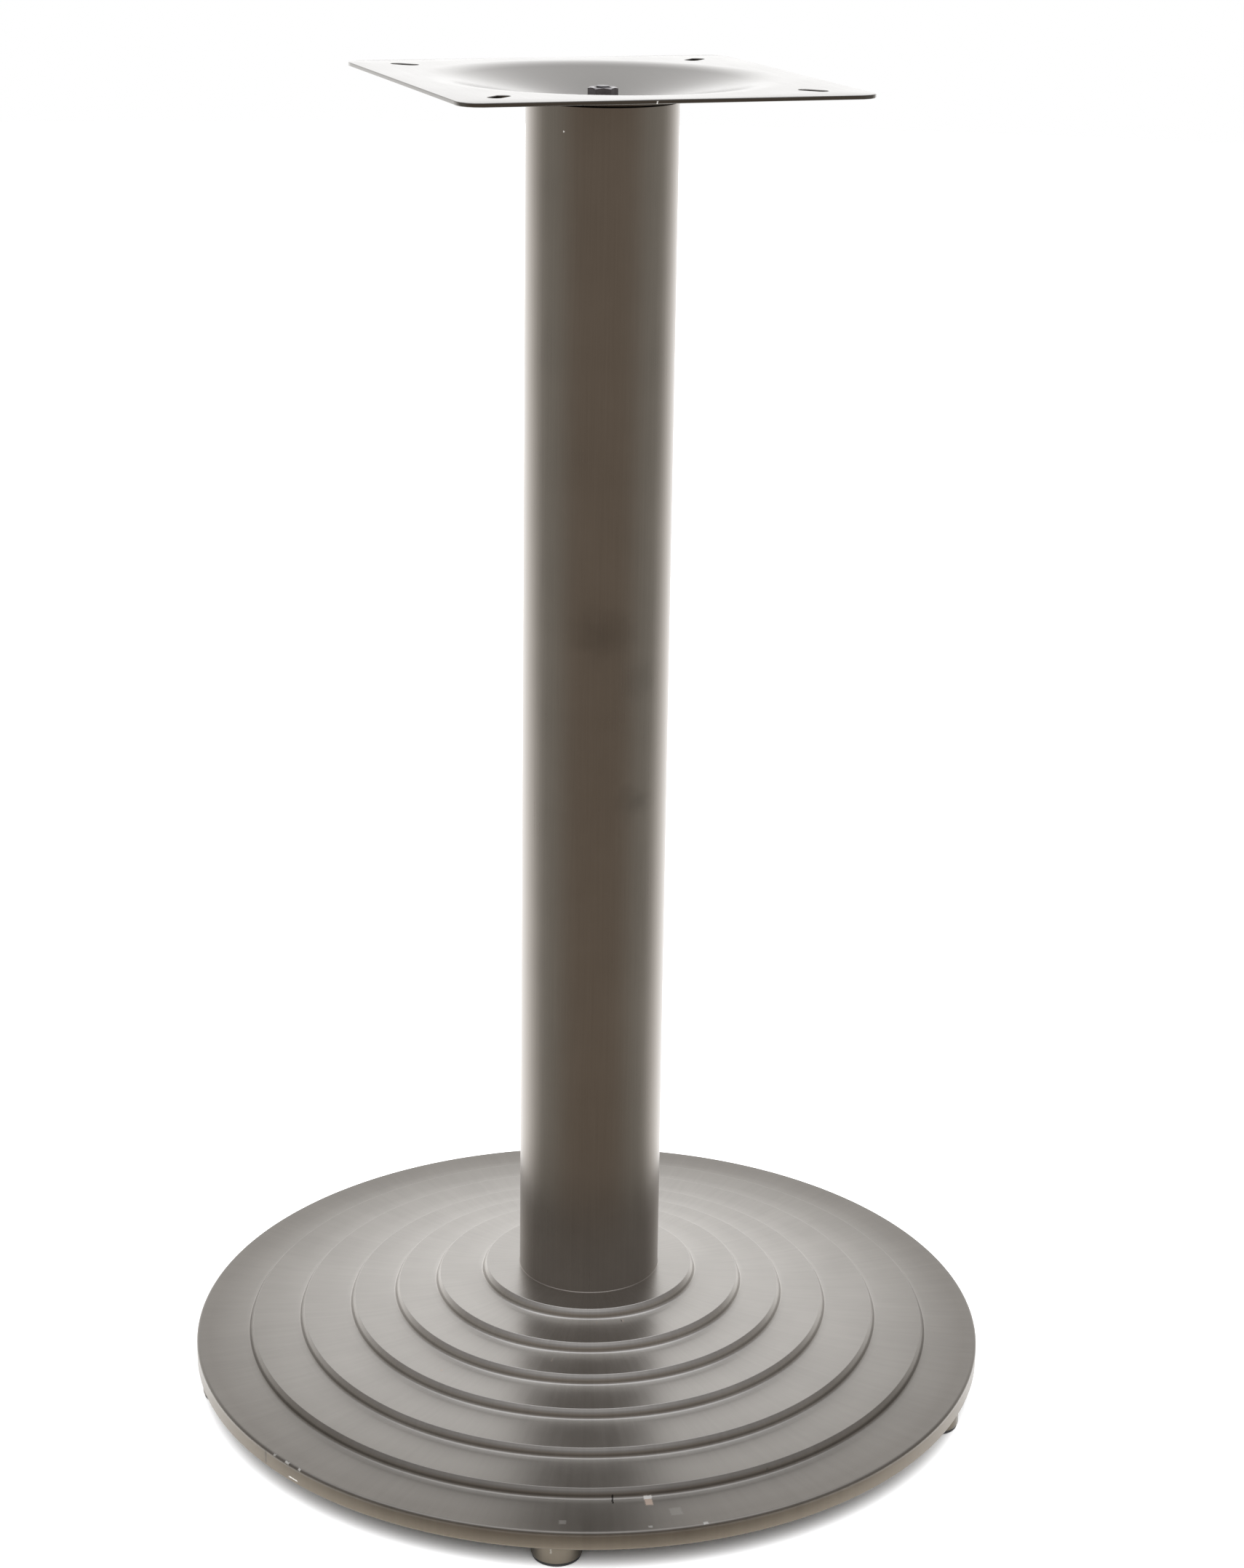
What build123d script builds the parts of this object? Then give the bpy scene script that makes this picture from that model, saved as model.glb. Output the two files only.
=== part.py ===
from build123d import *
from math import atan2, cos, hypot, radians, sin, sqrt, tan
import os

# Pedestal base for a small table: stepped cast disc, tube column and dished plate on one tie rod.
# Millimetres, +Z up. The floor is z = 0, the column stands on the Z axis and the plate's slots lie
# on the X and Y axes.

# Overall sizes
total_height = 700.0
disc_diameter = 430.0
column_diameter = 76.0

# Cast disc: rim, rings and hollow
rim_height = 10.0
rim_edge_bevel = 1.6
rim_wall = 8.0
step_height = 5.9
riser_draft = 2.2
riser_cove_bevel = 3.2
seat_margin = 19.3
seat_wall = 10.4

# Treads between the rims of the rings, from the outermost in. They fill the width between the
# column's seat and the disc's rim, so a larger disc has wider treads.
tread_widths = (29.8, 27.7, 27.8, 24.3, 22.6, 25.5)

# Cast disc: spigot for the tube and centre boss
spigot_height = 5.0
spigot_clearance = 0.3
boss_diameter = 60.0
boss_height = 10.0

# Feet of the casting and the pads under them
foot_count = 5
foot_diameter = 25.6
foot_inset = 14.5
foot_root = 1.0
foot_turn = 3.4
floor_gap = 11.0
glide_margin = 0.6
glide_thickness = 1.5

# Column tube
tube_wall = 2.0
tube_seat_clearance = 0.05

# Pressed top plate
plate_side = 207.0
plate_corner_radius = 10.0
plate_turn = 45.0
sheet_thickness = 2.0
dish_depth = 13.0
dish_floor_margin = 3.0
dish_floor_bevel = 3.0
dish_brim_width = 22.5
dish_brim_bevel = 8.0
slot_count = 4
slot_inset = 31.4
slot_length = 15.0
slot_width = 7.0
cut_margin = 2.0

# Tie rod, nuts and washers
rod_diameter = 8.0
rod_end_bevel = 0.8
rod_above_nut = 0.8
rod_below_nut = 4.0
rod_hole_clearance = 0.5
nut_sides = 6
nut_across_flats = 13.0
nut_height = 6.5
nut_turn = 27.0
nut_bevel_angle = 30.0
thread_clearance = 0.1
washer_diameter = 24.0
washer_thickness = 1.6
washer_hole_clearance = 0.2

# Levels worked out from the sizes
rim_bottom = floor_gap
rim_top = rim_bottom + rim_height
seat_level = rim_top + len(tread_widths) * step_height
hollow_top = seat_level - seat_wall
boss_bottom = hollow_top - boss_height
dish_floor = total_height - dish_depth
top_nut_level = dish_floor + washer_thickness
bottom_washer_level = boss_bottom - washer_thickness
rod_top = top_nut_level + nut_height + rod_above_nut
rod_bottom = bottom_washer_level - nut_height - rod_below_nut

# Radii worked out from the sizes
disc_radius = disc_diameter / 2
hollow_radius = disc_radius - rim_wall
top_ring_radius = column_diameter / 2 + seat_margin
tube_inner_radius = column_diameter / 2 - tube_wall
spigot_radius = tube_inner_radius - spigot_clearance
rod_hole_radius = rod_diameter / 2 + rod_hole_clearance
foot_circle_radius = disc_radius - foot_inset
dish_floor_radius = washer_diameter / 2 + dish_floor_margin
dish_radius = plate_side / 2 - dish_brim_width
plate_corner_reach = plate_side / sqrt(2) - plate_corner_radius * (sqrt(2) - 1)
slot_circle_radius = plate_corner_reach - slot_inset

# The bevel at the foot of a riser stays within the riser's slope
riser_cove = min(riser_cove_bevel, hypot(step_height, riser_draft))

# The sheet's underside runs parallel to the dish, so its bends lie a little further out
dish_angle = atan2(dish_depth, dish_radius - dish_floor_radius)
sheet_shift = sheet_thickness * tan(dish_angle / 2)

# The tube's inner edge meets the dish from below
seat_width = tube_inner_radius - dish_floor_radius - sheet_shift
tube_top = dish_floor - sheet_thickness + seat_width * tan(dish_angle) - tube_seat_clearance

ON_BASE = (Align.CENTER, Align.CENTER, Align.MIN)


def revolved(points):
    """Turn a closed outline of the XZ plane round the Z axis."""
    return revolve(Plane.XZ * make_face(Polyline(*points, close=True)), axis=Axis.Z)


def around(count, radius, start_angle):
    """Places on a circle round the Z axis, each with its X axis pointing outwards."""
    places = []
    for index in range(count):
        angle = start_angle + index * 360 / count
        spot = Pos(radius * cos(radians(angle)), radius * sin(radians(angle)), 0)
        places.append(spot * Rot(0, 0, angle))
    return places


def bevelled(corners):
    """Points of a closed outline whose corners, given as (x, z, cut), are cut off by their bevels."""
    points = []
    for index, (x, z, cut) in enumerate(corners):
        if cut == 0:
            points.append((x, z))
            continue
        for other in (corners[index - 1], corners[(index + 1) % len(corners)]):
            share = cut / hypot(other[0] - x, other[1] - z)
            points.append((x + (other[0] - x) * share, z + (other[1] - z) * share))
    return points


def ring_radii():
    """Radius of each riser at half its height, from the outermost in."""
    stretch = (disc_radius - top_ring_radius) / sum(tread_widths)
    radii = []
    radius = disc_radius
    for width in tread_widths:
        radius -= width * stretch
        radii.append(radius)
    return radii


def disc_top_corners():
    """The disc's upper outline, from the spigot out to the rim."""
    corners = [
        (rod_hole_radius, seat_level + spigot_height, 0),
        (spigot_radius, seat_level + spigot_height, 0),
        (spigot_radius, seat_level, 0),
    ]
    level = seat_level
    for radius in reversed(ring_radii()):
        corners.append((radius - riser_draft / 2, level, 0))
        level -= step_height
        corners.append((radius + riser_draft / 2, level, riser_cove))
    corners.append((disc_radius, rim_top, rim_edge_bevel))
    return corners


def disc_under_corners():
    """The disc's lower outline, from the rim up the hollow to the centre boss and the rod hole."""
    return [
        (disc_radius, rim_bottom, 0),
        (hollow_radius, rim_bottom, 0),
        (top_ring_radius, hollow_top, 0),
        (boss_diameter / 2, hollow_top, 0),
        (boss_diameter / 2, boss_bottom, 0),
        (rod_hole_radius, boss_bottom, 0),
    ]


def make_foot_disc():
    """The one casting: a stepped shell with a rim, a spigot for the tube, a centre boss and feet."""
    disc = revolved(bevelled(disc_top_corners() + disc_under_corners()))
    hollow_slope = (hollow_top - rim_bottom) / (hollow_radius - top_ring_radius)
    foot_inner_radius = foot_circle_radius - foot_diameter / 2
    foot_top = rim_bottom + (hollow_radius - foot_inner_radius) * hollow_slope + foot_root
    foot = Cylinder(foot_diameter / 2, foot_top - glide_thickness, align=ON_BASE)
    for place in around(foot_count, foot_circle_radius, foot_turn):
        disc += place * Pos(0, 0, glide_thickness) * foot
    return disc


def make_glides():
    """A thin round pad under each foot."""
    pad = Cylinder(foot_diameter / 2 - glide_margin, glide_thickness, align=ON_BASE)
    places = around(foot_count, foot_circle_radius, foot_turn)
    return Compound([place * pad for place in places])


def make_column_tube():
    """A plain round tube with its two ends cut square."""
    length = tube_top - seat_level
    outer = Cylinder(column_diameter / 2, length, align=ON_BASE)
    bore = Cylinder(tube_inner_radius, length, align=ON_BASE)
    return Pos(0, 0, seat_level) * (outer - bore)


def plate_corners():
    """The sheet's section: up the dish's upper side to the brim, and back along the underside."""
    underside = total_height - sheet_thickness
    return [
        (rod_hole_radius, dish_floor, 0),
        (dish_floor_radius, dish_floor, dish_floor_bevel),
        (dish_radius, total_height, dish_brim_bevel),
        (plate_side, total_height, 0),
        (plate_side, underside, 0),
        (dish_radius + sheet_shift, underside, dish_brim_bevel),
        (dish_floor_radius + sheet_shift, dish_floor - sheet_thickness, dish_floor_bevel),
        (rod_hole_radius, dish_floor - sheet_thickness, 0),
    ]


def make_top_plate():
    """A pressed sheet: the dish is turned, the square outline and the slots are cut through it."""
    square = Rot(0, 0, plate_turn) * RectangleRounded(plate_side, plate_side, plate_corner_radius)
    blank_height = dish_depth + sheet_thickness + 2 * cut_margin
    blank = Pos(0, 0, dish_floor - sheet_thickness - cut_margin) * extrude(square, blank_height)
    plate = revolved(bevelled(plate_corners())) & blank
    slot = extrude(SlotOverall(slot_length, slot_width), sheet_thickness / 2 + cut_margin, both=True)
    for place in around(slot_count, slot_circle_radius, plate_turn - 180 / slot_count):
        plate -= place * Pos(0, 0, total_height - sheet_thickness / 2) * slot
    return plate


def make_tie_rod():
    """The rod that clamps plate, tube and disc together."""
    rod = Cylinder(rod_diameter / 2, rod_top - rod_bottom, align=ON_BASE)
    rod = chamfer(rod.edges().filter_by(GeomType.CIRCLE), rod_end_bevel)
    return Pos(0, 0, rod_bottom) * rod


def make_nut():
    """A hexagon nut that lies on z = 0, with the corners of its outer end turned off."""
    flat = nut_across_flats / 2
    corner = flat / cos(radians(180 / nut_sides))
    drop = (corner - flat) * tan(radians(nut_bevel_angle))
    hexagon = extrude(RegularPolygon(corner, nut_sides), nut_height)
    turned = revolved(
        [(0, 0), (corner, 0), (corner, nut_height - drop), (flat, nut_height), (0, nut_height)]
    )
    hole = Cylinder(rod_diameter / 2 + thread_clearance, nut_height, align=ON_BASE)
    return Rot(0, 0, nut_turn) * ((hexagon & turned) - hole)


def make_nuts():
    """The nut in the dish and the one under the centre boss, which points down."""
    upper = Pos(0, 0, top_nut_level) * make_nut()
    lower = Pos(0, 0, bottom_washer_level) * Rot(180, 0, 0) * make_nut()
    return Compound([upper, lower])


def make_washers():
    """A flat washer under each nut."""
    disc = Cylinder(washer_diameter / 2, washer_thickness, align=ON_BASE)
    hole = Cylinder(rod_diameter / 2 + washer_hole_clearance, washer_thickness, align=ON_BASE)
    washer = disc - hole
    return Compound([Pos(0, 0, level) * washer for level in (dish_floor, bottom_washer_level)])


pieces = {
    "foot_disc": make_foot_disc(),
    "glides": make_glides(),
    "column_tube": make_column_tube(),
    "top_plate": make_top_plate(),
    "tie_rod": make_tie_rod(),
    "nuts": make_nuts(),
    "washers": make_washers(),
}

os.makedirs("parts", exist_ok=True)
for node, shape in pieces.items():
    export_step(shape, f"parts/{node}.step")
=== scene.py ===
import math

import bmesh
import bpy
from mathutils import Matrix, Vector


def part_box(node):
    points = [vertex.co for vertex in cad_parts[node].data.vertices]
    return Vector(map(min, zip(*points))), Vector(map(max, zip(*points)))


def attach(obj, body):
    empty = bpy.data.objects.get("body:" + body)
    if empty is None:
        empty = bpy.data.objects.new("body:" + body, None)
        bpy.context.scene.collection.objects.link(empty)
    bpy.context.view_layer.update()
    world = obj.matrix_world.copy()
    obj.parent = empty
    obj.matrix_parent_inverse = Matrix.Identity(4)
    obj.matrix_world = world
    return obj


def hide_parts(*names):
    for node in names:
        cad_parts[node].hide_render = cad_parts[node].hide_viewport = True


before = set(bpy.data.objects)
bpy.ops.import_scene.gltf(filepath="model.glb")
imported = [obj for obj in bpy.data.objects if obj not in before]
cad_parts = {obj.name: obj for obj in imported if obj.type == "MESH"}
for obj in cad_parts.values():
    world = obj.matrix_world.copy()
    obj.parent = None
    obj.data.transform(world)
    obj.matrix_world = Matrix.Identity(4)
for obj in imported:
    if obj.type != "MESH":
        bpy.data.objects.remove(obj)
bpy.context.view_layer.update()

# Pedestal table base, in metres, in the frame of the solids: +Z up, the column on the Z axis and the
# plate's slots on the X and Y axes. Each piece stands for a solid and adds its rounds, threads and finish.
MM = 0.001

# Sizes read from the frame
disc_low, disc_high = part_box("foot_disc")
tube_low, tube_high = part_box("column_tube")
plate_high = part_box("top_plate")[1]
rod_low, rod_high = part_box("tie_rod")
pad_low, pad_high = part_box("glides")
disc_radius = disc_high.x
tube_radius = tube_high.x
rod_radius = rod_high.x

# Cast disc
RIM_HEIGHT = 10 * MM
RIM_WALL = 8 * MM
STEP_HEIGHT = 5.9 * MM
RISER_DRAFT = 2.2 * MM
TREAD_WIDTHS = [29.8 * MM, 27.7 * MM, 27.8 * MM, 24.3 * MM, 22.6 * MM, 25.5 * MM]
SEAT_WALL = 10.4 * MM
SPIGOT_CLEARANCE = 0.3 * MM
BOSS_RADIUS = 30 * MM
BOSS_HEIGHT = 10 * MM
ROD_HOLE_RADIUS = 4.5 * MM
RISER_TOP_ROUND = 0.4 * MM
RISER_TOP_SLOPE = math.radians(52)
RISER_FOOT_SLOPE = math.radians(82)
RISER_BULGE_ROUND = 4.0 * MM
COVE_RISE = 1.0 * MM
COVE_ROUND = 1.6 * MM
COVE_BEND_LEVEL = 0.45 * MM
COVE_BEND_REACH = 2.6 * MM
COVE_BEND_ROUND = 9 * MM
COVE_REACH = 10 * MM
COVE_RUN_OUT = 100 * MM
RIM_ROUND = 1.5 * MM
CAST_ROUND = 1.0 * MM
HOLLOW_ROUND = 6.0 * MM
MACHINED_ROUND = 0.4 * MM

# Feet and pads
FOOT_COUNT = 5
FOOT_RADIUS = 12.8 * MM
FOOT_CIRCLE = 200.5 * MM
FOOT_TURN = math.radians(3.4)
FOOT_REACH = 17 * MM
PAD_RADIUS = 12.2 * MM
PAD_ROUND = 0.45 * MM

# Tube
TUBE_WALL = 2.0 * MM
TUBE_EDGE_ROUND = 0.45 * MM
TUBE_TOP_ROUND = 0.15 * MM
TUBE_FOOT_BEAD = 0.25 * MM

# Pressed plate
PLATE_HALF_SIDE = 103.5 * MM
PLATE_CORNER = 10 * MM
PLATE_TURN = math.radians(45)
SHEET = 2.0 * MM
SHEET_EDGE_ROUND = 0.5 * MM
DISH_DEPTH = 13 * MM
DISH_RADIUS = 81 * MM
DISH_BRIM_ROUND = 82 * MM
DISH_FLOOR_RADIUS = 15 * MM
DISH_FLOOR_ROUND = 30 * MM
DISH_BEND_STEPS = 8
SLOT_COUNT = 4
SLOT_CIRCLE = 110.83 * MM
SLOT_LENGTH = 15 * MM
SLOT_WIDTH = 7 * MM
SLOT_EDGE_BEVEL = 0.35 * MM

# Rod, nuts and washers
THREAD_PITCH = 1.25 * MM
THREAD_DEPTH = 0.7 * MM
THREAD_RUN = 22 * MM
THREAD_GROOVE = 0.5
THREAD_STEEPNESS = 2.6
ROD_END_BEVEL = 0.8 * MM
NUT_SIDES = 6
NUT_HALF_FLATS = 6.5 * MM
NUT_HEIGHT = 6.5 * MM
NUT_TURN = math.radians(27)
NUT_END_SLOPE = math.tan(math.radians(30))
NUT_BORE_RADIUS = 4.1 * MM
NUT_BORE_BEVEL = 0.6 * MM
WASHER_RADIUS = 12 * MM
WASHER_BORE_RADIUS = 4.2 * MM
WASHER_THICKNESS = 1.6 * MM
WASHER_ROUND = 0.35 * MM

# Fineness of the meshes
TURN_SEGMENTS = 256
SMALL_TURN_SEGMENTS = 96
ROD_SEGMENTS = 48
THREAD_ROWS = 10
ROUND_STEP = math.radians(9)
BRIM_SHARES = (0.5, 1.0)
SUPPORT = 0.25 * MM
SHARP_ANGLE = math.radians(38)
QUARTER_TURN = math.radians(90)

# Levels worked out from the sizes
seat_level = tube_low.z
rim_top = seat_level - len(TREAD_WIDTHS) * STEP_HEIGHT
rim_bottom = rim_top - RIM_HEIGHT
hollow_top = seat_level - SEAT_WALL
boss_bottom = hollow_top - BOSS_HEIGHT
plate_top = plate_high.z
dish_floor = plate_top - DISH_DEPTH

# The photograph's camera: its frame in pixels, its sensor in mm, its place in metres and the way it looks
IMAGE_WIDTH = 1710
IMAGE_HEIGHT = 2156
FOCAL_PIXELS = 4149.4
PRINCIPAL_X = 918.9
PRINCIPAL_Y = 952.5
SENSOR = 36.0
CAMERA_AZIMUTH = math.radians(25.43)
CAMERA_DISTANCE = 1.50303
CAMERA_HEIGHT = 0.84665
CAMERA_PITCH = math.radians(17.083)
CAMERA_PAN = math.radians(1.447)
CAMERA_ROLL = math.radians(-1.122)


# Mesh helpers

def linked(name, mesh):
    """Put a mesh into the scene as an object, with its faces turned outwards."""
    work = bmesh.new()
    work.from_mesh(mesh)
    bmesh.ops.recalc_face_normals(work, faces=work.faces)
    work.to_mesh(mesh)
    work.free()
    piece = bpy.data.objects.new(name, mesh)
    bpy.context.scene.collection.objects.link(piece)
    return piece


def from_rows(name, rows, closed_rows=True):
    """A mesh from rows of points, each row a ring, joined row to row and, if asked, last to first."""
    ring = len(rows[0])
    points = [point for row in rows for point in row]
    faces = []
    for row in range(len(rows) if closed_rows else len(rows) - 1):
        here = row * ring
        there = (row + 1) % len(rows) * ring
        for spot in range(ring):
            following = (spot + 1) % ring
            faces.append((here + spot, here + following, there + following, there + spot))
    if not closed_rows:
        faces.append(tuple(range(ring)))
        faces.append(tuple(range((len(rows) - 1) * ring, len(rows) * ring)))
    mesh = bpy.data.meshes.new(name)
    mesh.from_pydata(points, [], faces)
    return linked(name, mesh)


def ring_of(segments, radius, level):
    """A ring of points; radius and level are numbers or functions of the angle."""
    points = []
    for spot in range(segments):
        angle = math.tau * spot / segments
        reach = radius(angle) if callable(radius) else radius
        height = level(angle) if callable(level) else level
        points.append((reach * math.cos(angle), reach * math.sin(angle), height))
    return points


def rounded_corner(before, corner, after, size, least_steps=1):
    """Points of the arc that rounds a corner, with a support point on the run at each side."""
    if size == 0:
        return [corner]
    back = (before - corner).normalized()
    ahead = (after - corner).normalized()
    half = back.angle(ahead) / 2
    centre = corner + (back + ahead).normalized() * size / math.sin(half)
    start = corner + back * size / math.tan(half)
    end = corner + ahead * size / math.tan(half)
    steps = max(least_steps, math.ceil((math.pi - 2 * half) / ROUND_STEP))
    points = [start + back * SUPPORT]
    first = (start - centre).normalized()
    last = (end - centre).normalized()
    for step in range(steps + 1):
        points.append(centre + first.slerp(last, step / steps) * size)
    points.append(end + ahead * SUPPORT)
    return points


def rounded(corners):
    """A closed outline through corners given as radius, level and the size of the round there."""
    points = []
    for index, (radius, level, size) in enumerate(corners):
        before = Vector(corners[index - 1][:2])
        after = Vector(corners[(index + 1) % len(corners)][:2])
        points += rounded_corner(before, Vector((radius, level)), after, size)
    return points


def turned(name, outline, segments=TURN_SEGMENTS):
    """A closed outline of radius and level, turned round the Z axis."""
    return from_rows(name, [ring_of(segments, radius, level) for radius, level in outline])


def combined(piece, tools, operation):
    """Add the tools to a piece or cut them out of it, and remove them."""
    for tool in tools:
        change = piece.modifiers.new(operation, "BOOLEAN")
        change.operation = operation
        change.object = tool
        change.solver = "EXACT"
    shapes = bpy.context.evaluated_depsgraph_get()
    result = bpy.data.meshes.new_from_object(piece.evaluated_get(shapes))
    piece.modifiers.clear()
    piece.data = result
    for tool in tools:
        bpy.data.objects.remove(tool)


def moved(piece, place, turn=0.0):
    """Turn a piece's mesh about the Z axis and move it, so that its object stays at the origin."""
    sine, cosine = math.sin(turn), math.cos(turn)
    for vertex in piece.data.vertices:
        x, y, z = vertex.co
        vertex.co = Vector((x * cosine - y * sine, x * sine + y * cosine, z)) + Vector(place)
    return piece


def dress(piece, node, material):
    """Shade a piece, give it its material and put it in the place of its node."""
    for face in piece.data.polygons:
        face.use_smooth = True
    piece.data.set_sharp_from_angle(angle=SHARP_ANGLE)
    piece.data.materials.clear()
    piece.data.materials.append(material)
    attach(piece, "root")
    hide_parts(node)


def foot_places():
    """The angle and the place of each foot."""
    places = []
    for index in range(FOOT_COUNT):
        angle = FOOT_TURN + math.tau * index / FOOT_COUNT
        places.append((FOOT_CIRCLE * math.cos(angle), FOOT_CIRCLE * math.sin(angle), 0))
    return places


# Pieces

def ring_radii():
    """Radius of each riser at half its height, from the outermost in."""
    radii = []
    radius = disc_radius
    for width in TREAD_WIDTHS:
        radius -= width
        radii.append(radius)
    return radii


def disc_outline():
    """The casting's section: spigot, seat, risers and rim above, hollow and boss below."""
    spigot_radius = tube_radius - TUBE_WALL - SPIGOT_CLEARANCE
    rings = ring_radii()
    corners = [
        (ROD_HOLE_RADIUS, disc_high.z, MACHINED_ROUND),
        (spigot_radius, disc_high.z, CAST_ROUND),
        (spigot_radius, seat_level, 0),
    ]
    level = seat_level
    slopes = (RISER_TOP_SLOPE, RISER_FOOT_SLOPE)
    run = (STEP_HEIGHT - COVE_RISE) / sum(math.sin(slope) for slope in slopes)
    for radius in reversed(rings):
        edge = radius - RISER_DRAFT / 2
        bulge = edge + run * math.cos(RISER_TOP_SLOPE)
        foot = bulge + run * math.cos(RISER_FOOT_SLOPE)
        corners.append((edge, level, RISER_TOP_ROUND))
        corners.append((bulge, level - run * math.sin(RISER_TOP_SLOPE), RISER_BULGE_ROUND))
        level -= STEP_HEIGHT
        corners.append((foot, level + COVE_RISE, COVE_ROUND))
        corners.append((foot + COVE_BEND_REACH, level + COVE_BEND_LEVEL, COVE_BEND_ROUND))
        corners.append((foot + COVE_REACH, level, COVE_RUN_OUT))
    corners += [
        (disc_radius, rim_top, RIM_ROUND),
        (disc_radius, rim_bottom, CAST_ROUND),
        (disc_radius - RIM_WALL, rim_bottom, CAST_ROUND),
        (rings[-1], hollow_top, HOLLOW_ROUND),
        (BOSS_RADIUS, hollow_top, 0),
        (BOSS_RADIUS, boss_bottom, CAST_ROUND),
        (ROD_HOLE_RADIUS, boss_bottom, MACHINED_ROUND),
    ]
    return rounded(corners)


def solid_peg(name, radius, low, high, edge_round):
    """A round peg with a rounded lower edge."""
    rows = []
    steps = math.ceil(QUARTER_TURN / ROUND_STEP)
    for step in range(steps + 1):
        angle = QUARTER_TURN * step / steps
        reach = radius - edge_round * (1 - math.sin(angle))
        rows.append(ring_of(SMALL_TURN_SEGMENTS, reach, low + edge_round * (1 - math.cos(angle))))
    rows.append(ring_of(SMALL_TURN_SEGMENTS, radius, high))
    return from_rows(name, rows, closed_rows=False)


def make_foot_disc():
    """The casting with its feet grown on."""
    disc = turned("foot_disc_cast", disc_outline())
    feet = []
    for place in foot_places():
        foot = solid_peg("foot", FOOT_RADIUS, disc_low.z, FOOT_REACH, CAST_ROUND)
        feet.append(moved(foot, place))
    combined(disc, feet, "UNION")
    return disc


def make_glides():
    """A pad under each foot, with both its edges rounded."""
    steps = math.ceil(math.pi / ROUND_STEP)
    thickness = pad_high.z - pad_low.z
    rows = []
    for step in range(steps + 1):
        angle = math.pi * step / steps
        reach = PAD_RADIUS - PAD_ROUND * (1 - math.sin(angle))
        level = pad_low.z + PAD_ROUND * (1 - math.cos(angle))
        if angle > QUARTER_TURN:
            level += thickness - 2 * PAD_ROUND
        rows.append(ring_of(SMALL_TURN_SEGMENTS, reach, level))
    pads = []
    for index, place in enumerate(foot_places()):
        pad = from_rows(f"glide_{index + 1}", rows, closed_rows=False)
        pads.append(moved(pad, place))
    return pads


def make_column_tube():
    """The tube, with the edges of its cut ends broken and a fine bead of lacquer round its foot."""
    inner = tube_radius - TUBE_WALL
    corners = [
        (tube_radius + TUBE_FOOT_BEAD, tube_low.z, 0),
        (tube_radius, tube_low.z + TUBE_FOOT_BEAD, TUBE_FOOT_BEAD),
        (tube_radius, tube_high.z, TUBE_TOP_ROUND),
        (inner, tube_high.z, TUBE_TOP_ROUND),
        (inner, tube_low.z, TUBE_EDGE_ROUND),
    ]
    return turned("column_tube_drawn", rounded(corners))


def plate_reach(angle):
    """Distance from the axis to the plate's edge: a square with rounded corners."""
    turn = (angle - PLATE_TURN + QUARTER_TURN / 2) % QUARTER_TURN - QUARTER_TURN / 2
    straight = PLATE_HALF_SIDE / math.cos(turn)
    middle = PLATE_HALF_SIDE - PLATE_CORNER
    if abs(straight * math.sin(turn)) <= middle:
        return straight
    along = middle * (math.cos(turn) + abs(math.sin(turn)))
    across = middle * (math.cos(turn) - abs(math.sin(turn)))
    return along + math.sqrt(PLATE_CORNER ** 2 - across ** 2)


def sheet_line(under):
    """Points along one side of the sheet's section, from the rod hole over the dish's floor and brim."""
    drop = SHEET if under else 0
    slope = math.atan2(DISH_DEPTH, DISH_RADIUS - DISH_FLOOR_RADIUS)
    shift = drop * math.tan(slope / 2)
    hole = Vector((ROD_HOLE_RADIUS, dish_floor - drop))
    floor_bend = Vector((DISH_FLOOR_RADIUS + shift, dish_floor - drop))
    brim_bend = Vector((DISH_RADIUS + shift, plate_top - drop))
    brim = Vector((PLATE_HALF_SIDE, plate_top - drop))
    points = [hole]
    points += rounded_corner(hole, floor_bend, brim_bend, DISH_FLOOR_ROUND + drop, DISH_BEND_STEPS)
    points += rounded_corner(floor_bend, brim_bend, brim, DISH_BRIM_ROUND - drop, DISH_BEND_STEPS)
    return points


def sheet_side(under):
    """Rings of one side of the sheet, from the rod hole out to the start of its edge."""
    line = sheet_line(under)
    rows = [ring_of(TURN_SEGMENTS, radius, level) for radius, level in line]
    start, brim = line[-1]
    for share in BRIM_SHARES:

        def reach(angle, part=share):
            return start + (plate_reach(angle) - SHEET_EDGE_ROUND - start) * part

        rows.append(ring_of(TURN_SEGMENTS, reach, brim))
    return rows


def sheet_edge():
    """Rings round the sheet's outer edge, from its upper side to its lower side."""
    rows = []
    steps = math.ceil(QUARTER_TURN / ROUND_STEP)
    for corner, centre in ((0, plate_top - SHEET_EDGE_ROUND), (1, plate_top - SHEET + SHEET_EDGE_ROUND)):
        for step in range(1 - corner, steps + 1 - corner):
            turn = QUARTER_TURN * (corner + step / steps)
            inset = SHEET_EDGE_ROUND * (1 - math.sin(turn))
            level = centre + SHEET_EDGE_ROUND * math.cos(turn)
            rows.append(ring_of(TURN_SEGMENTS, lambda angle, cut=inset: plate_reach(angle) - cut, level))
    return rows


def slot_outline(growth):
    """A slot's outline about its own middle, along X, grown outwards by the given distance."""
    radius = SLOT_WIDTH / 2 + growth
    middle = (SLOT_LENGTH - SLOT_WIDTH) / 2
    steps = math.ceil(math.pi / ROUND_STEP)
    points = []
    for end in (1, -1):
        for step in range(steps + 1):
            turn = math.pi * step / steps - math.pi / 2
            points.append((end * (middle + radius * math.cos(turn)), end * radius * math.sin(turn)))
    return points


def slot_cutter(place, turn):
    """A cutter for one slot that also breaks the slot's upper and lower edges."""
    over = plate_top + SLOT_EDGE_BEVEL
    under = plate_top - SHEET - SLOT_EDGE_BEVEL
    layers = [
        (over, 2 * SLOT_EDGE_BEVEL),
        (over - 2 * SLOT_EDGE_BEVEL, 0),
        (under + 2 * SLOT_EDGE_BEVEL, 0),
        (under, 2 * SLOT_EDGE_BEVEL),
    ]
    rows = [[(x, y, level) for x, y in slot_outline(growth)] for level, growth in layers]
    return moved(from_rows("slot_cutter", rows, closed_rows=False), place, turn)


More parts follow.
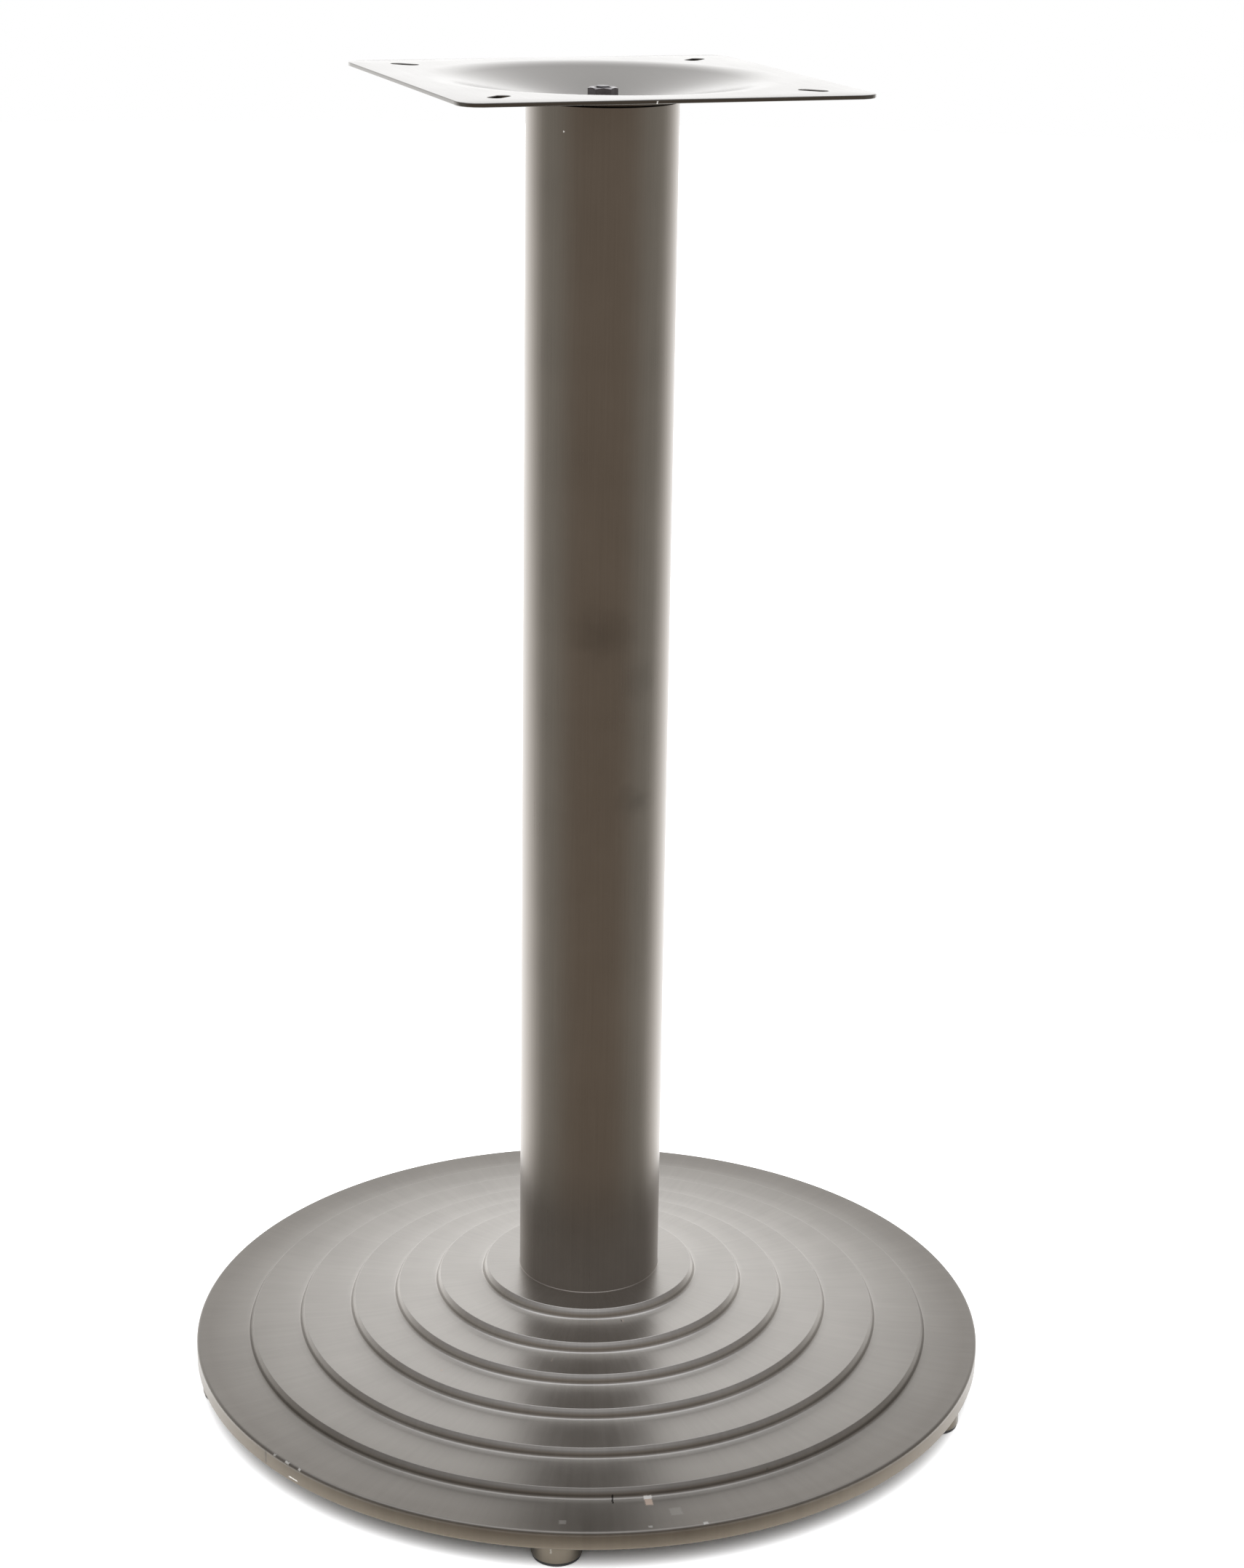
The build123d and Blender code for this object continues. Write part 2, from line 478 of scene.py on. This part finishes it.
def make_top_plate():
    """The pressed sheet with its dish, rounded corners and slots."""
    rows = sheet_side(under=False) + sheet_edge() + sheet_side(under=True)[::-1]
    plate = from_rows("top_plate_pressed", rows)
    cutters = []
    for index in range(SLOT_COUNT):
        turn = math.tau * index / SLOT_COUNT
        place = (SLOT_CIRCLE * math.cos(turn), SLOT_CIRCLE * math.sin(turn), 0)
        cutters.append(slot_cutter(place, turn))
    combined(plate, cutters, "DIFFERENCE")
    return plate


def thread_radius(angle, level):
    """Radius of the threaded rod at an angle and a level: one groove to a pitch."""
    phase = (level / THREAD_PITCH - angle / math.tau) % 1
    slope = min(1.0, abs(phase - THREAD_GROOVE) * THREAD_STEEPNESS)
    return rod_radius - THREAD_DEPTH * (1 - slope)


def make_tie_rod():
    """The rod with a thread run at each end and bevelled tips."""
    steps = round(THREAD_RUN / THREAD_PITCH) * THREAD_ROWS
    levels = [rod_low.z + THREAD_RUN * step / steps for step in range(steps + 1)]
    levels += [rod_high.z - THREAD_RUN * (1 - step / steps) for step in range(steps + 1)]
    rows = []
    for level in levels:
        to_end = min(level - rod_low.z, rod_high.z - level)
        limit = rod_radius - max(0, ROD_END_BEVEL - to_end)

        def reach(angle, at=level, cap=limit):
            return min(cap, thread_radius(angle, at))

        rows.append(ring_of(ROD_SEGMENTS, reach, level))
    return from_rows("tie_rod_threaded", rows, closed_rows=False)


def nut_reach(angle):
    """Distance from a nut's axis to its sides."""
    side = math.tau / NUT_SIDES
    return NUT_HALF_FLATS / math.cos(angle % side - side / 2)


def make_nut(name, level, upwards):
    """A hexagon nut lying on a level, its outer end turned off at the corners."""
    way = 1 if upwards else -1

    def at(height):
        return level + way * height

    def outer_level(angle):
        return at(NUT_HEIGHT - (nut_reach(angle) - NUT_HALF_FLATS) * NUT_END_SLOPE)

    layers = [
        (NUT_BORE_RADIUS, at(NUT_BORE_BEVEL)),
        (NUT_BORE_RADIUS, at(NUT_HEIGHT - NUT_BORE_BEVEL)),
        (NUT_BORE_RADIUS + NUT_BORE_BEVEL, at(NUT_HEIGHT)),
        (NUT_HALF_FLATS - SUPPORT, at(NUT_HEIGHT)),
        (nut_reach, outer_level),
        (nut_reach, at(0)),
        (NUT_BORE_RADIUS + NUT_BORE_BEVEL, at(0)),
    ]
    nut = from_rows(name, [ring_of(SMALL_TURN_SEGMENTS, reach, height) for reach, height in layers])
    return moved(nut, (0, 0, 0), NUT_TURN * way)


def make_washer(name, low):
    """A flat washer with rolled edges."""
    high = low + WASHER_THICKNESS
    corners = [
        (WASHER_RADIUS, low, WASHER_ROUND),
        (WASHER_RADIUS, high, WASHER_ROUND),
        (WASHER_BORE_RADIUS, high, WASHER_ROUND),
        (WASHER_BORE_RADIUS, low, WASHER_ROUND),
    ]
    return turned(name, rounded(corners), SMALL_TURN_SEGMENTS)


# Materials

UP = (0, 0, 1)
LEVEL = (1, 1, 0)
NOISE_RAGGEDNESS = 0.55

# Places of a colour mix's factor, its two colours and its result among the node's sockets
MIX_INPUTS = (0, 6, 7)
MIX_OUTPUT = 2


class Graph:
    """A node tree with short calls that add nodes and join them."""

    def __init__(self, tree):
        self.tree = tree

    def join(self, socket, value):
        """Link a socket to another one, or set it to a plain value."""
        if isinstance(value, bpy.types.NodeSocket):
            self.tree.links.new(value, socket)
        else:
            socket.default_value = value

    def node(self, kind, inputs=(), output=0, **settings):
        """Add a node; its inputs are given by name or in order. Returns one of its outputs."""
        made = self.tree.nodes.new(kind)
        for name, value in settings.items():
            setattr(made, name, value)
        pairs = inputs.items() if isinstance(inputs, dict) else enumerate(inputs)
        for key, value in pairs:
            self.join(made.inputs[key], value)
        return made.outputs[output]

    def place(self):
        """Where a point lies on its object."""
        return self.node("ShaderNodeTexCoord", output="Object")

    def math(self, operation, *values):
        """One operation on numbers."""
        return self.node("ShaderNodeMath", values, operation=operation)

    def vector(self, operation, *values, output=0):
        """One operation on vectors."""
        return self.node("ShaderNodeVectorMath", values, output, operation=operation)

    def along(self, vector, way):
        """How far a vector reaches in a direction."""
        return self.vector("DOT_PRODUCT", vector, way, output="Value")

    def scaled(self, vector, factor):
        """A vector or colour times a number."""
        return self.node("ShaderNodeVectorMath", {"Vector": vector, "Scale": factor}, operation="SCALE")

    def step(self, value, start, end, low=0.0, high=1.0):
        """A smooth step of a value from low at start to high at end."""
        inputs = [value, start, end, low, high]
        return self.node("ShaderNodeMapRange", inputs, interpolation_type="SMOOTHSTEP")

    def range(self, value, low, high):
        """Spread a value between 0 and 1 over a range."""
        return self.node("ShaderNodeMapRange", [value, 0.0, 1.0, low, high])

    def mix(self, factor, first, second):
        """Mix two colours."""
        made = self.tree.nodes.new("ShaderNodeMix")
        made.data_type = "RGBA"
        for index, value in zip(MIX_INPUTS, (factor, first, second)):
            self.join(made.inputs[index], value)
        return made.outputs[MIX_OUTPUT]

    def noise(self, vector, scale, detail, roughness=NOISE_RAGGEDNESS):
        """Cloudy noise from 0 to 1."""
        inputs = {"Vector": vector, "Scale": scale, "Detail": detail, "Roughness": roughness}
        return self.node("ShaderNodeTexNoise", inputs)


def new_material(name):
    """A material with its graph and its one shader."""
    material = bpy.data.materials.new(name)
    material.use_nodes = True
    shader = material.node_tree.nodes["Principled BSDF"]
    return material, Graph(material.node_tree), shader


def colour(red, green, blue):
    """An opaque colour."""
    return (red, green, blue, 1.0)


# The lacquer's tones and how far streaks, blotches and grain vary them
TUBE_LACQUER = (0.365, 0.335, 0.305)
SHEET_LACQUER = (0.18, 0.171, 0.160)
TONE_SPREAD = 0.07
TONE_START = 0.25
TONE_END = 0.75
PATTERN_SHARE = 0.5
ROUGH_SPREAD = 0.06
TUBE_ROUGH = 0.29
SHEET_ROUGH = 0.17
STREAKS_ROUND = 46.0
STREAKS_ALONG = 16.0
ROLLED_ACROSS = 700.0
STREAK_SCALE = 1.0
STREAK_DETAIL = 4.0
STREAK_RAGGEDNESS = 0.66
BLOTCH_SCALE = 26.0
BLOTCH_DETAIL = 4.0
GRAIN_SCALE = 900.0
GRAIN_DETAIL = 2.0
STREAK_BUMP = 0.015 * MM
GRAIN_BUMP = 0.004 * MM

# The disc's lacquer is paler on the inner rings and darker towards the rim
DISC_INNER = colour(0.52, 0.50, 0.473)
DISC_OUTER = colour(0.252, 0.235, 0.214)
DISC_INNER_RADIUS = 55 * MM
DISC_OUTER_RADIUS = 208 * MM
DISC_INNER_ROUGH = 0.29
DISC_OUTER_ROUGH = 0.34
DISC_TONE_POWER = 2.0

# Brown round the rim; a darker brown on the feet below it and on faces that turn down is painted shade
# under the disc
RIM_LACQUER = colour(0.165, 0.142, 0.112)
FOOT_LACQUER_AND_SHADE = colour(0.135, 0.117, 0.092)
SHADE_FACING_DOWN = -0.5
SHADE_FACING_ASIDE = -0.2

# Wear marks, and a nick on the sheet's edge painted pale as its highlight: angle in degrees, then radius,
# level, half width round the axis and half length across it in millimetres, and strength
CHIPPED = colour(0.6, 0.475, 0.39)
DISC_CHIPS = [
    (304.9, 189.6, 21.6, 1.9, 3.2, 1.0),
    (313.1, 61.6, 51.6, 0.35, 1.6, 0.5),
    (299.6, 61.6, 51.6, 0.3, 1.5, 0.4),
    (283.7, 91.5, 44.6, 0.35, 2.0, 0.35),
    (255.3, 118.6, 38.7, 0.7, 0.7, 0.5),
]
# Pale colour of the scuffs on the disc and tube; it also paints the highlight on the sheet's nick
PALE_SCUFF_AND_GLINT = colour(0.85, 0.835, 0.8)
DISC_SCUFFS = [
    (304.9, 187.0, 22.0, 2.0, 1.0, 1.0),
    (292.3, 205.9, 21.0, 1.8, 1.7, 0.22),
    (308.3, 200.4, 21.0, 3.0, 3.2, 0.1),
    (304.1, 211.5, 21.0, 1.0, 0.8, 0.35),
    (311.5, 213.6, 20.6, 1.2, 0.8, 0.45),
    (247.8, 214.3, 20.2, 0.9, 0.7, 0.5),
    (250.5, 214.3, 20.2, 1.5, 0.7, 0.6),
    (253.0, 214.3, 20.2, 0.8, 0.7, 0.6),
    (251.8, 215.0, 13.5, 3.2, 0.4, 0.75),
    (290.9, 213.2, 9.0, 0.45, 1.3, 0.12),
]
STAINED = colour(0.035, 0.033, 0.033)
DISC_STAINS = [
    (299.5, 187.6, 22.4, 0.45, 2.4, 0.9),
    (312.4, 61.4, 51.8, 0.3, 1.3, 0.6),
    (325.0, 184.9, 24.2, 0.7, 0.8, 0.9),
    (245.8, 215.0, 16.0, 0.7, 3.4, 0.45),
]
TUBE_STAINS = [
    (301.1, 38.0, 426.0, 21.0, 16.0, 0.2),
    (332.5, 38.0, 402.0, 13.0, 13.0, 0.12),
    (329.0, 38.0, 335.0, 13.0, 10.0, 0.22),
]
TUBE_SCUFFS = [(266.1, 38.0, 677.0, 0.4, 0.4, 0.6)]
# A nick on the sheet's lower edge, painted pale as the highlight its corner catches
SHEET_NICK_AND_HIGHLIGHT = [(309.4, 104.0, 698.4, 0.35, 0.9, 0.7)]
RAGGED_SCALE = 900.0
RAGGED_SHIFT = 0.9 * MM
SMUDGED_SCALE = 110.0
SMUDGED_SHIFT = 11 * MM
MARK_EDGE_START = 0.75
MARK_EDGE_END = 1.2
MARK_DETAIL = 2.0
NOISE_MIDDLE = (0.5, 0.5, 0.5)
WORN_ROUGH = 0.6


def marked_places(graph, place, marks, soft=False):
    """How strongly a list of marks shows at a place: each is a small patch with a ragged or soft edge."""
    full = 0.0 if soft else MARK_EDGE_START
    scale, shift = (SMUDGED_SCALE, SMUDGED_SHIFT) if soft else (RAGGED_SCALE, RAGGED_SHIFT)
    inputs = {"Vector": place, "Scale": scale, "Detail": MARK_DETAIL}
    colours = graph.node("ShaderNodeTexNoise", inputs, "Color")
    random_shift = graph.vector("SUBTRACT", colours, NOISE_MIDDLE)
    ragged = graph.vector("ADD", place, graph.scaled(random_shift, shift))
    shown = 0.0
    for angle, radius, level, half_width, half_length, strength in marks:
        turn = math.radians(angle)
        centre = Vector((radius * math.cos(turn), radius * math.sin(turn), level)) * MM
        round_way = (-math.sin(turn), math.cos(turn), 0)
        offset = graph.vector("SUBTRACT", ragged, tuple(centre))
        aside = graph.math("ABSOLUTE", graph.along(offset, round_way))
        across = graph.vector("LENGTH", graph.vector("CROSS_PRODUCT", offset, round_way), output="Value")
        wide = graph.math("DIVIDE", aside, half_width * MM)
        long = graph.math("DIVIDE", across, half_length * MM)
        if soft:
            squares = graph.math("MULTIPLY_ADD", wide, wide, graph.math("MULTIPLY", long, long))
            away = graph.math("SQRT", squares)
        else:
            away = graph.math("MAXIMUM", wide, long)
        patch = graph.step(away, full, MARK_EDGE_END, strength, 0.0)
        shown = graph.math("MAXIMUM", shown, patch)
    return shown


def brushed(graph, place, stretched):
    """Streaks on a stretched place, soft blotches and a fine grain, each from 0 to 1."""
    return (
        graph.noise(stretched, STREAK_SCALE, STREAK_DETAIL, STREAK_RAGGEDNESS),
        graph.noise(place, BLOTCH_SCALE, BLOTCH_DETAIL),
        graph.noise(place, GRAIN_SCALE, GRAIN_DETAIL),
    )


def turned_patterns(graph, place, along):
    """The patterns of a piece that is brushed along its height or outwards from its axis."""
    flat = graph.vector("MULTIPLY", place, LEVEL)
    round_axis = graph.scaled(graph.vector("NORMALIZE", flat), STREAKS_ROUND)
    along_vector = graph.node("ShaderNodeCombineXYZ", {"Z": graph.math("MULTIPLY", along, STREAKS_ALONG)})
    return brushed(graph, place, graph.vector("ADD", round_axis, along_vector))


def finish_lacquer(graph, shader, base, rough, patterns, surface_marks=()):
    """Join a base colour and a roughness to a shader, varied and bumped by the surface's patterns.

    The marks are a list of how strongly each shows, its colour, and how far it takes the metal's shine
    away: wear, and on the sheet a painted highlight.
    """
    streaks, blotches, grain = patterns
    shares = [graph.math("MULTIPLY", pattern, PATTERN_SHARE) for pattern in (streaks, blotches)]
    both = graph.math("ADD", *shares)
    tone = graph.step(both, TONE_START, TONE_END, 1 - TONE_SPREAD, 1 + TONE_SPREAD)
    shade = graph.scaled(base, tone)
    dull = 0.0
    for shown, mark_colour, dulls in surface_marks:
        shade = graph.mix(shown, shade, mark_colour)
        dull = graph.math("MAXIMUM", dull, graph.math("MULTIPLY", shown, dulls))
    graph.join(shader.inputs["Base Color"], shade)
    varied = graph.math("ADD", rough, graph.range(both, -ROUGH_SPREAD, ROUGH_SPREAD))
    worn = graph.math("MULTIPLY", dull, WORN_ROUGH)
    graph.join(shader.inputs["Roughness"], graph.math("MAXIMUM", varied, worn))
    graph.join(shader.inputs["Metallic"], graph.math("SUBTRACT", 1.0, dull))
    fine = graph.node("ShaderNodeBump", {"Height": grain, "Distance": GRAIN_BUMP})
    bumped = graph.node("ShaderNodeBump", {"Height": streaks, "Distance": STREAK_BUMP, "Normal": fine})
    graph.join(shader.inputs["Normal"], bumped)


def tube_lacquer():
    """Satin warm-grey lacquer over a tube brushed along its length."""
    material, graph, shader = new_material("lacquered_tube")
    place = graph.place()
    height = graph.along(place, UP)
    patterns = turned_patterns(graph, place, height)
    surface_marks = [
        (marked_places(graph, place, TUBE_STAINS, soft=True), STAINED, 0.0),
        (marked_places(graph, place, TUBE_SCUFFS), PALE_SCUFF_AND_GLINT, 1.0),
    ]
    finish_lacquer(graph, shader, TUBE_LACQUER, TUBE_ROUGH, patterns, surface_marks)
    return material


def sheet_lacquer():
    """The same lacquer, smoother, on pressed sheet rolled along one of the plate's sides."""
    material, graph, shader = new_material("lacquered_sheet")
    place = graph.place()
    side_way = (math.cos(PLATE_TURN), math.sin(PLATE_TURN), 0)
    rolled_way = (-math.sin(PLATE_TURN), math.cos(PLATE_TURN), 0)
    across = graph.along(place, side_way)
    along = graph.along(place, rolled_way)
    rolled = graph.node("ShaderNodeCombineXYZ", {
        "X": graph.math("MULTIPLY", across, ROLLED_ACROSS),
        "Y": graph.math("MULTIPLY", along, STREAKS_ALONG),
    })
    patterns = brushed(graph, place, rolled)
    # The sheet's one mark is a nick painted pale as its highlight
    surface_marks = [(marked_places(graph, place, SHEET_NICK_AND_HIGHLIGHT), PALE_SCUFF_AND_GLINT, 1.0)]
    finish_lacquer(graph, shader, SHEET_LACQUER, SHEET_ROUGH, patterns, surface_marks)
    return material


def disc_lacquer():
    """The lacquer on the casting, brushed outwards and darker towards the rim, with painted shade on its
    feet and underside.
    """
    material, graph, shader = new_material("lacquered_casting")
    place = graph.place()
    radius = graph.vector("LENGTH", graph.vector("MULTIPLY", place, LEVEL), output="Value")
    outward = graph.node("ShaderNodeMapRange", [radius, DISC_INNER_RADIUS, DISC_OUTER_RADIUS, 0.0, 1.0])
    top = graph.mix(graph.math("POWER", outward, DISC_TONE_POWER), DISC_INNER, DISC_OUTER)
    height = graph.along(place, UP)
    # Below the rim the feet take the darker brown: painted shade under the disc's edge
    side = graph.mix(graph.step(height, rim_bottom - CAST_ROUND, rim_bottom), FOOT_LACQUER_AND_SHADE, RIM_LACQUER)
    base = graph.mix(graph.step(height, rim_top - 2 * RIM_ROUND, rim_top - RIM_ROUND / 2), side, top)
    # Faces that turn down take the darker brown: painted shade on the underside
    facing = graph.along(graph.node("ShaderNodeTexCoord", output="Normal"), UP)
    base = graph.mix(graph.step(facing, SHADE_FACING_DOWN, SHADE_FACING_ASIDE), FOOT_LACQUER_AND_SHADE, base)
    rough = graph.range(outward, DISC_INNER_ROUGH, DISC_OUTER_ROUGH)
    patterns = turned_patterns(graph, place, radius)
    surface_marks = [
        (marked_places(graph, place, DISC_STAINS), STAINED, 0.0),
        (marked_places(graph, place, DISC_CHIPS), CHIPPED, 1.0),
        (marked_places(graph, place, DISC_SCUFFS), PALE_SCUFF_AND_GLINT, 1.0),
    ]
    finish_lacquer(graph, shader, base, rough, patterns, surface_marks)
    return material


# Zinc plate and black plastic: two tones each, the roughness between them and the scale of their pattern
NUT_ZINC = (colour(0.22, 0.205, 0.225), colour(0.48, 0.46, 0.47))
ROD_ZINC = (colour(0.10, 0.096, 0.102), colour(0.22, 0.21, 0.215))
ZINC_ROUGH = (0.2, 0.42)
ZINC_CLOUD_SCALE = 420.0
ZINC_CLOUD_DETAIL = 4.0
PLASTIC_TONES = (colour(0.014, 0.014, 0.015), colour(0.03, 0.03, 0.03))
PLASTIC_ROUGH = (0.45, 0.62)
PLASTIC_GRAIN_SCALE = 1500.0
PLASTIC_BUMP = 0.03 * MM


def plated(name, tones):
    """Zinc plate, a little cloudy between two tones."""
    material, graph, shader = new_material(name)
    place = graph.place()
    cloud = graph.noise(place, ZINC_CLOUD_SCALE, ZINC_CLOUD_DETAIL)
    graph.join(shader.inputs["Base Color"], graph.mix(cloud, *tones))
    graph.join(shader.inputs["Roughness"], graph.range(cloud, *ZINC_ROUGH))
    shader.inputs["Metallic"].default_value = 1.0
    return material


def glide_plastic(name):
    """Black moulded plastic with a fine grain."""
    material, graph, shader = new_material(name)
    place = graph.place()
    grain = graph.noise(place, PLASTIC_GRAIN_SCALE, GRAIN_DETAIL)
    graph.join(shader.inputs["Base Color"], graph.mix(grain, *PLASTIC_TONES))
    graph.join(shader.inputs["Roughness"], graph.range(grain, *PLASTIC_ROUGH))
    bumped = graph.node("ShaderNodeBump", {"Height": grain, "Distance": PLASTIC_BUMP})
    graph.join(shader.inputs["Normal"], bumped)
    return material


# Camera, floor and light

def toward_camera(azimuth=CAMERA_AZIMUTH):
    """Level direction from the object to the camera."""
    return Vector((math.sin(azimuth), -math.cos(azimuth), 0))


def make_camera():
    """The photograph's camera, with its pan, pitch and roll, and its off-centre frame."""
    data = bpy.data.cameras.new("camera")
    data.sensor_width = SENSOR
    long_side = max(IMAGE_WIDTH, IMAGE_HEIGHT)
    data.lens = FOCAL_PIXELS / long_side * SENSOR
    data.shift_x = (IMAGE_WIDTH / 2 - PRINCIPAL_X) / long_side
    data.shift_y = (PRINCIPAL_Y - IMAGE_HEIGHT / 2) / long_side
    heading = CAMERA_AZIMUTH - CAMERA_PAN
    ahead = Vector((-math.sin(heading), math.cos(heading), 0)) * math.cos(CAMERA_PITCH)
    ahead.z = -math.sin(CAMERA_PITCH)
    level_right = Vector((math.cos(heading), math.sin(heading), 0))
    level_down = ahead.cross(level_right)
    right = level_right * math.cos(CAMERA_ROLL) + level_down * math.sin(CAMERA_ROLL)
    down = level_down * math.cos(CAMERA_ROLL) - level_right * math.sin(CAMERA_ROLL)
    camera = bpy.data.objects.new("camera", data)
    bpy.context.scene.collection.objects.link(camera)
    place = toward_camera() * CAMERA_DISTANCE
    place.z = CAMERA_HEIGHT
    columns = (right, -down, -ahead, place)
    for column, axis in enumerate(columns):
        for row, value in enumerate(axis):
            camera.matrix_world[row][column] = value
    bpy.context.scene.camera = camera


# The floor's two radii in metres, its finish and its own light
FLOOR_NEAR = 0.236
FLOOR_FAR = 6.0
FLOOR_COLOUR = colour(0.93, 0.93, 0.93)
FLOOR_ROUGH = 0.8
FLOOR_SUN_STRENGTH = 6.0
FLOOR_SUN_ANGLE = math.radians(130)


def make_floor():
    """A plain white floor in two parts: a round one under the object, and the rest of it.

    Metal shows the near part. Instead of the far part it shows the room's own light below the horizon.
    """
    material, _, shader = new_material("floor_white")
    shader.inputs["Base Color"].default_value = FLOOR_COLOUR
    shader.inputs["Roughness"].default_value = FLOOR_ROUGH
    shader.inputs["Specular IOR Level"].default_value = 0.0
    near_edge = ring_of(SMALL_TURN_SEGMENTS, FLOOR_NEAR, 0)
    far_edge = ring_of(SMALL_TURN_SEGMENTS, FLOOR_FAR, 0)
    round_faces = []
    for spot in range(SMALL_TURN_SEGMENTS):
        following = (spot + 1) % SMALL_TURN_SEGMENTS
        round_faces.append((spot, SMALL_TURN_SEGMENTS + spot, SMALL_TURN_SEGMENTS + following, following))
    parts = {
        "floor_near": (near_edge, [tuple(range(SMALL_TURN_SEGMENTS))]),
        "floor_far": (near_edge + far_edge, round_faces),
    }
    floors = []
    for name, (points, faces) in parts.items():
        mesh = bpy.data.meshes.new(name)
        mesh.from_pydata(points, [], faces)
        floor = bpy.data.objects.new(name, mesh)
        bpy.context.scene.collection.objects.link(floor)
        floor.data.materials.append(material)
        floors.append(floor)
    floors[-1].visible_glossy = False
    return floors


def make_floor_light(floors):
    """A broad light from above that lights the floor alone, so that the object keeps its own light."""
    data = bpy.data.lights.new("floor_light", "SUN")
    data.energy = FLOOR_SUN_STRENGTH
    data.angle = FLOOR_SUN_ANGLE
    lamp = bpy.data.objects.new("floor_light", data)
    bpy.context.scene.collection.objects.link(lamp)
    lit = bpy.data.collections.new("lit_by_floor_light")
    for floor in floors:
        lit.objects.link(floor)
    lamp.light_linking.receiver_collection = lit


# The room's light by direction, and the heights, from -1 below to 1 above, at which one passes to the next
ROOM_BACK_LOW = colour(1.85, 1.85, 1.85)
ROOM_BACK = colour(1.35, 1.35, 1.35)
ROOM_BACK_HIGH = colour(0.85, 0.83, 0.81)
ROOM_FRONT_LOW = colour(0.255, 0.212, 0.172)
ROOM_SIDE_LOW = colour(0.37, 0.355, 0.325)
ROOM_FRONT = colour(0.33, 0.309, 0.292)
ROOM_FRONT_HIGH = colour(0.34, 0.33, 0.33)
ROOM_CEILING = colour(1.15, 1.17, 1.21)
ROOM_TURN = math.radians(3)
BACK_LOW_FADE = (0.1, 0.4)
BACK_HIGH_FADE = (0.55, 0.75)
FRONT_LOW_FADE = (-0.05, 0.2)
FRONT_HIGH_FADE = (0.25, 0.5)
CEILING_FADE = (0.66, 0.9)

# How the light passes from the sides to the front low down and from the back to the front at all heights,
# and how far the back's light widens below the horizon
SIDE_TO_FRONT = (0.15, 0.9)
BACK_TO_FRONT = (-1.27, -0.22)
LOW_WIDENING = 0.8


def make_room():
    """The room's light: white behind the object, a pale ceiling and a dim warm side behind the camera.

    The camera itself sees plain white all round.
    """
    world = bpy.data.worlds.new("room")
    world.use_nodes = True
    bpy.context.scene.world = world
    tree = world.node_tree
    tree.nodes.clear()
    graph = Graph(tree)
    way = graph.node("ShaderNodeTexCoord", output="Generated")
    dim_side = toward_camera(CAMERA_AZIMUTH + ROOM_TURN)
    front = graph.along(way, tuple(dim_side))
    height = graph.along(way, UP)
    below = graph.math("MINIMUM", height, 0.0)
    side = graph.math("MULTIPLY_ADD", below, LOW_WIDENING, front)
    back = graph.mix(graph.step(height, *BACK_LOW_FADE), ROOM_BACK_LOW, ROOM_BACK)
    back = graph.mix(graph.step(height, *BACK_HIGH_FADE), back, ROOM_BACK_HIGH)
    low = graph.mix(graph.step(front, *SIDE_TO_FRONT), ROOM_SIDE_LOW, ROOM_FRONT_LOW)
    ahead = graph.mix(graph.step(height, *FRONT_LOW_FADE), low, ROOM_FRONT)
    ahead = graph.mix(graph.step(height, *FRONT_HIGH_FADE), ahead, ROOM_FRONT_HIGH)
    walls = graph.mix(graph.step(side, *BACK_TO_FRONT), back, ahead)
    room = graph.mix(graph.step(height, *CEILING_FADE), walls, ROOM_CEILING)
    lit = graph.node("ShaderNodeBackground", {"Color": room, "Strength": 1.0})
    white = graph.node("ShaderNodeBackground", {"Color": colour(1, 1, 1), "Strength": 1.0})
    straight = graph.node("ShaderNodeLightPath", output="Is Camera Ray")
    through = graph.node("ShaderNodeLightPath", output="Is Transmission Ray")
    shown = graph.node("ShaderNodeMixShader", [graph.math("MAXIMUM", straight, through), lit, white])
    output = tree.nodes.new("ShaderNodeOutputWorld")
    graph.join(output.inputs["Surface"], shown)


def main():
    """Build and dress every piece, then set up the camera, the floor and the light."""
    bpy.context.scene.view_settings.view_transform = "Standard"
    casting = disc_lacquer()
    tube = tube_lacquer()
    sheet = sheet_lacquer()
    zinc = plated("plated_steel", NUT_ZINC)
    dull_zinc = plated("plated_steel_rod", ROD_ZINC)
    plastic = glide_plastic("glide_plastic")

    dress(make_foot_disc(), "foot_disc", casting)
    dress(make_column_tube(), "column_tube", tube)
    dress(make_top_plate(), "top_plate", sheet)
    dress(make_tie_rod(), "tie_rod", dull_zinc)
    nut_low = dish_floor + WASHER_THICKNESS
    dress(make_nut("nut_top", nut_low, upwards=True), "nuts", zinc)
    nut_high = boss_bottom - WASHER_THICKNESS
    dress(make_nut("nut_bottom", nut_high, upwards=False), "nuts", zinc)
    dress(make_washer("washer_top", dish_floor), "washers", zinc)
    dress(make_washer("washer_bottom", nut_high), "washers", zinc)
    for pad in make_glides():
        dress(pad, "glides", plastic)

    make_camera()
    make_floor_light(make_floor())
    make_room()


main()
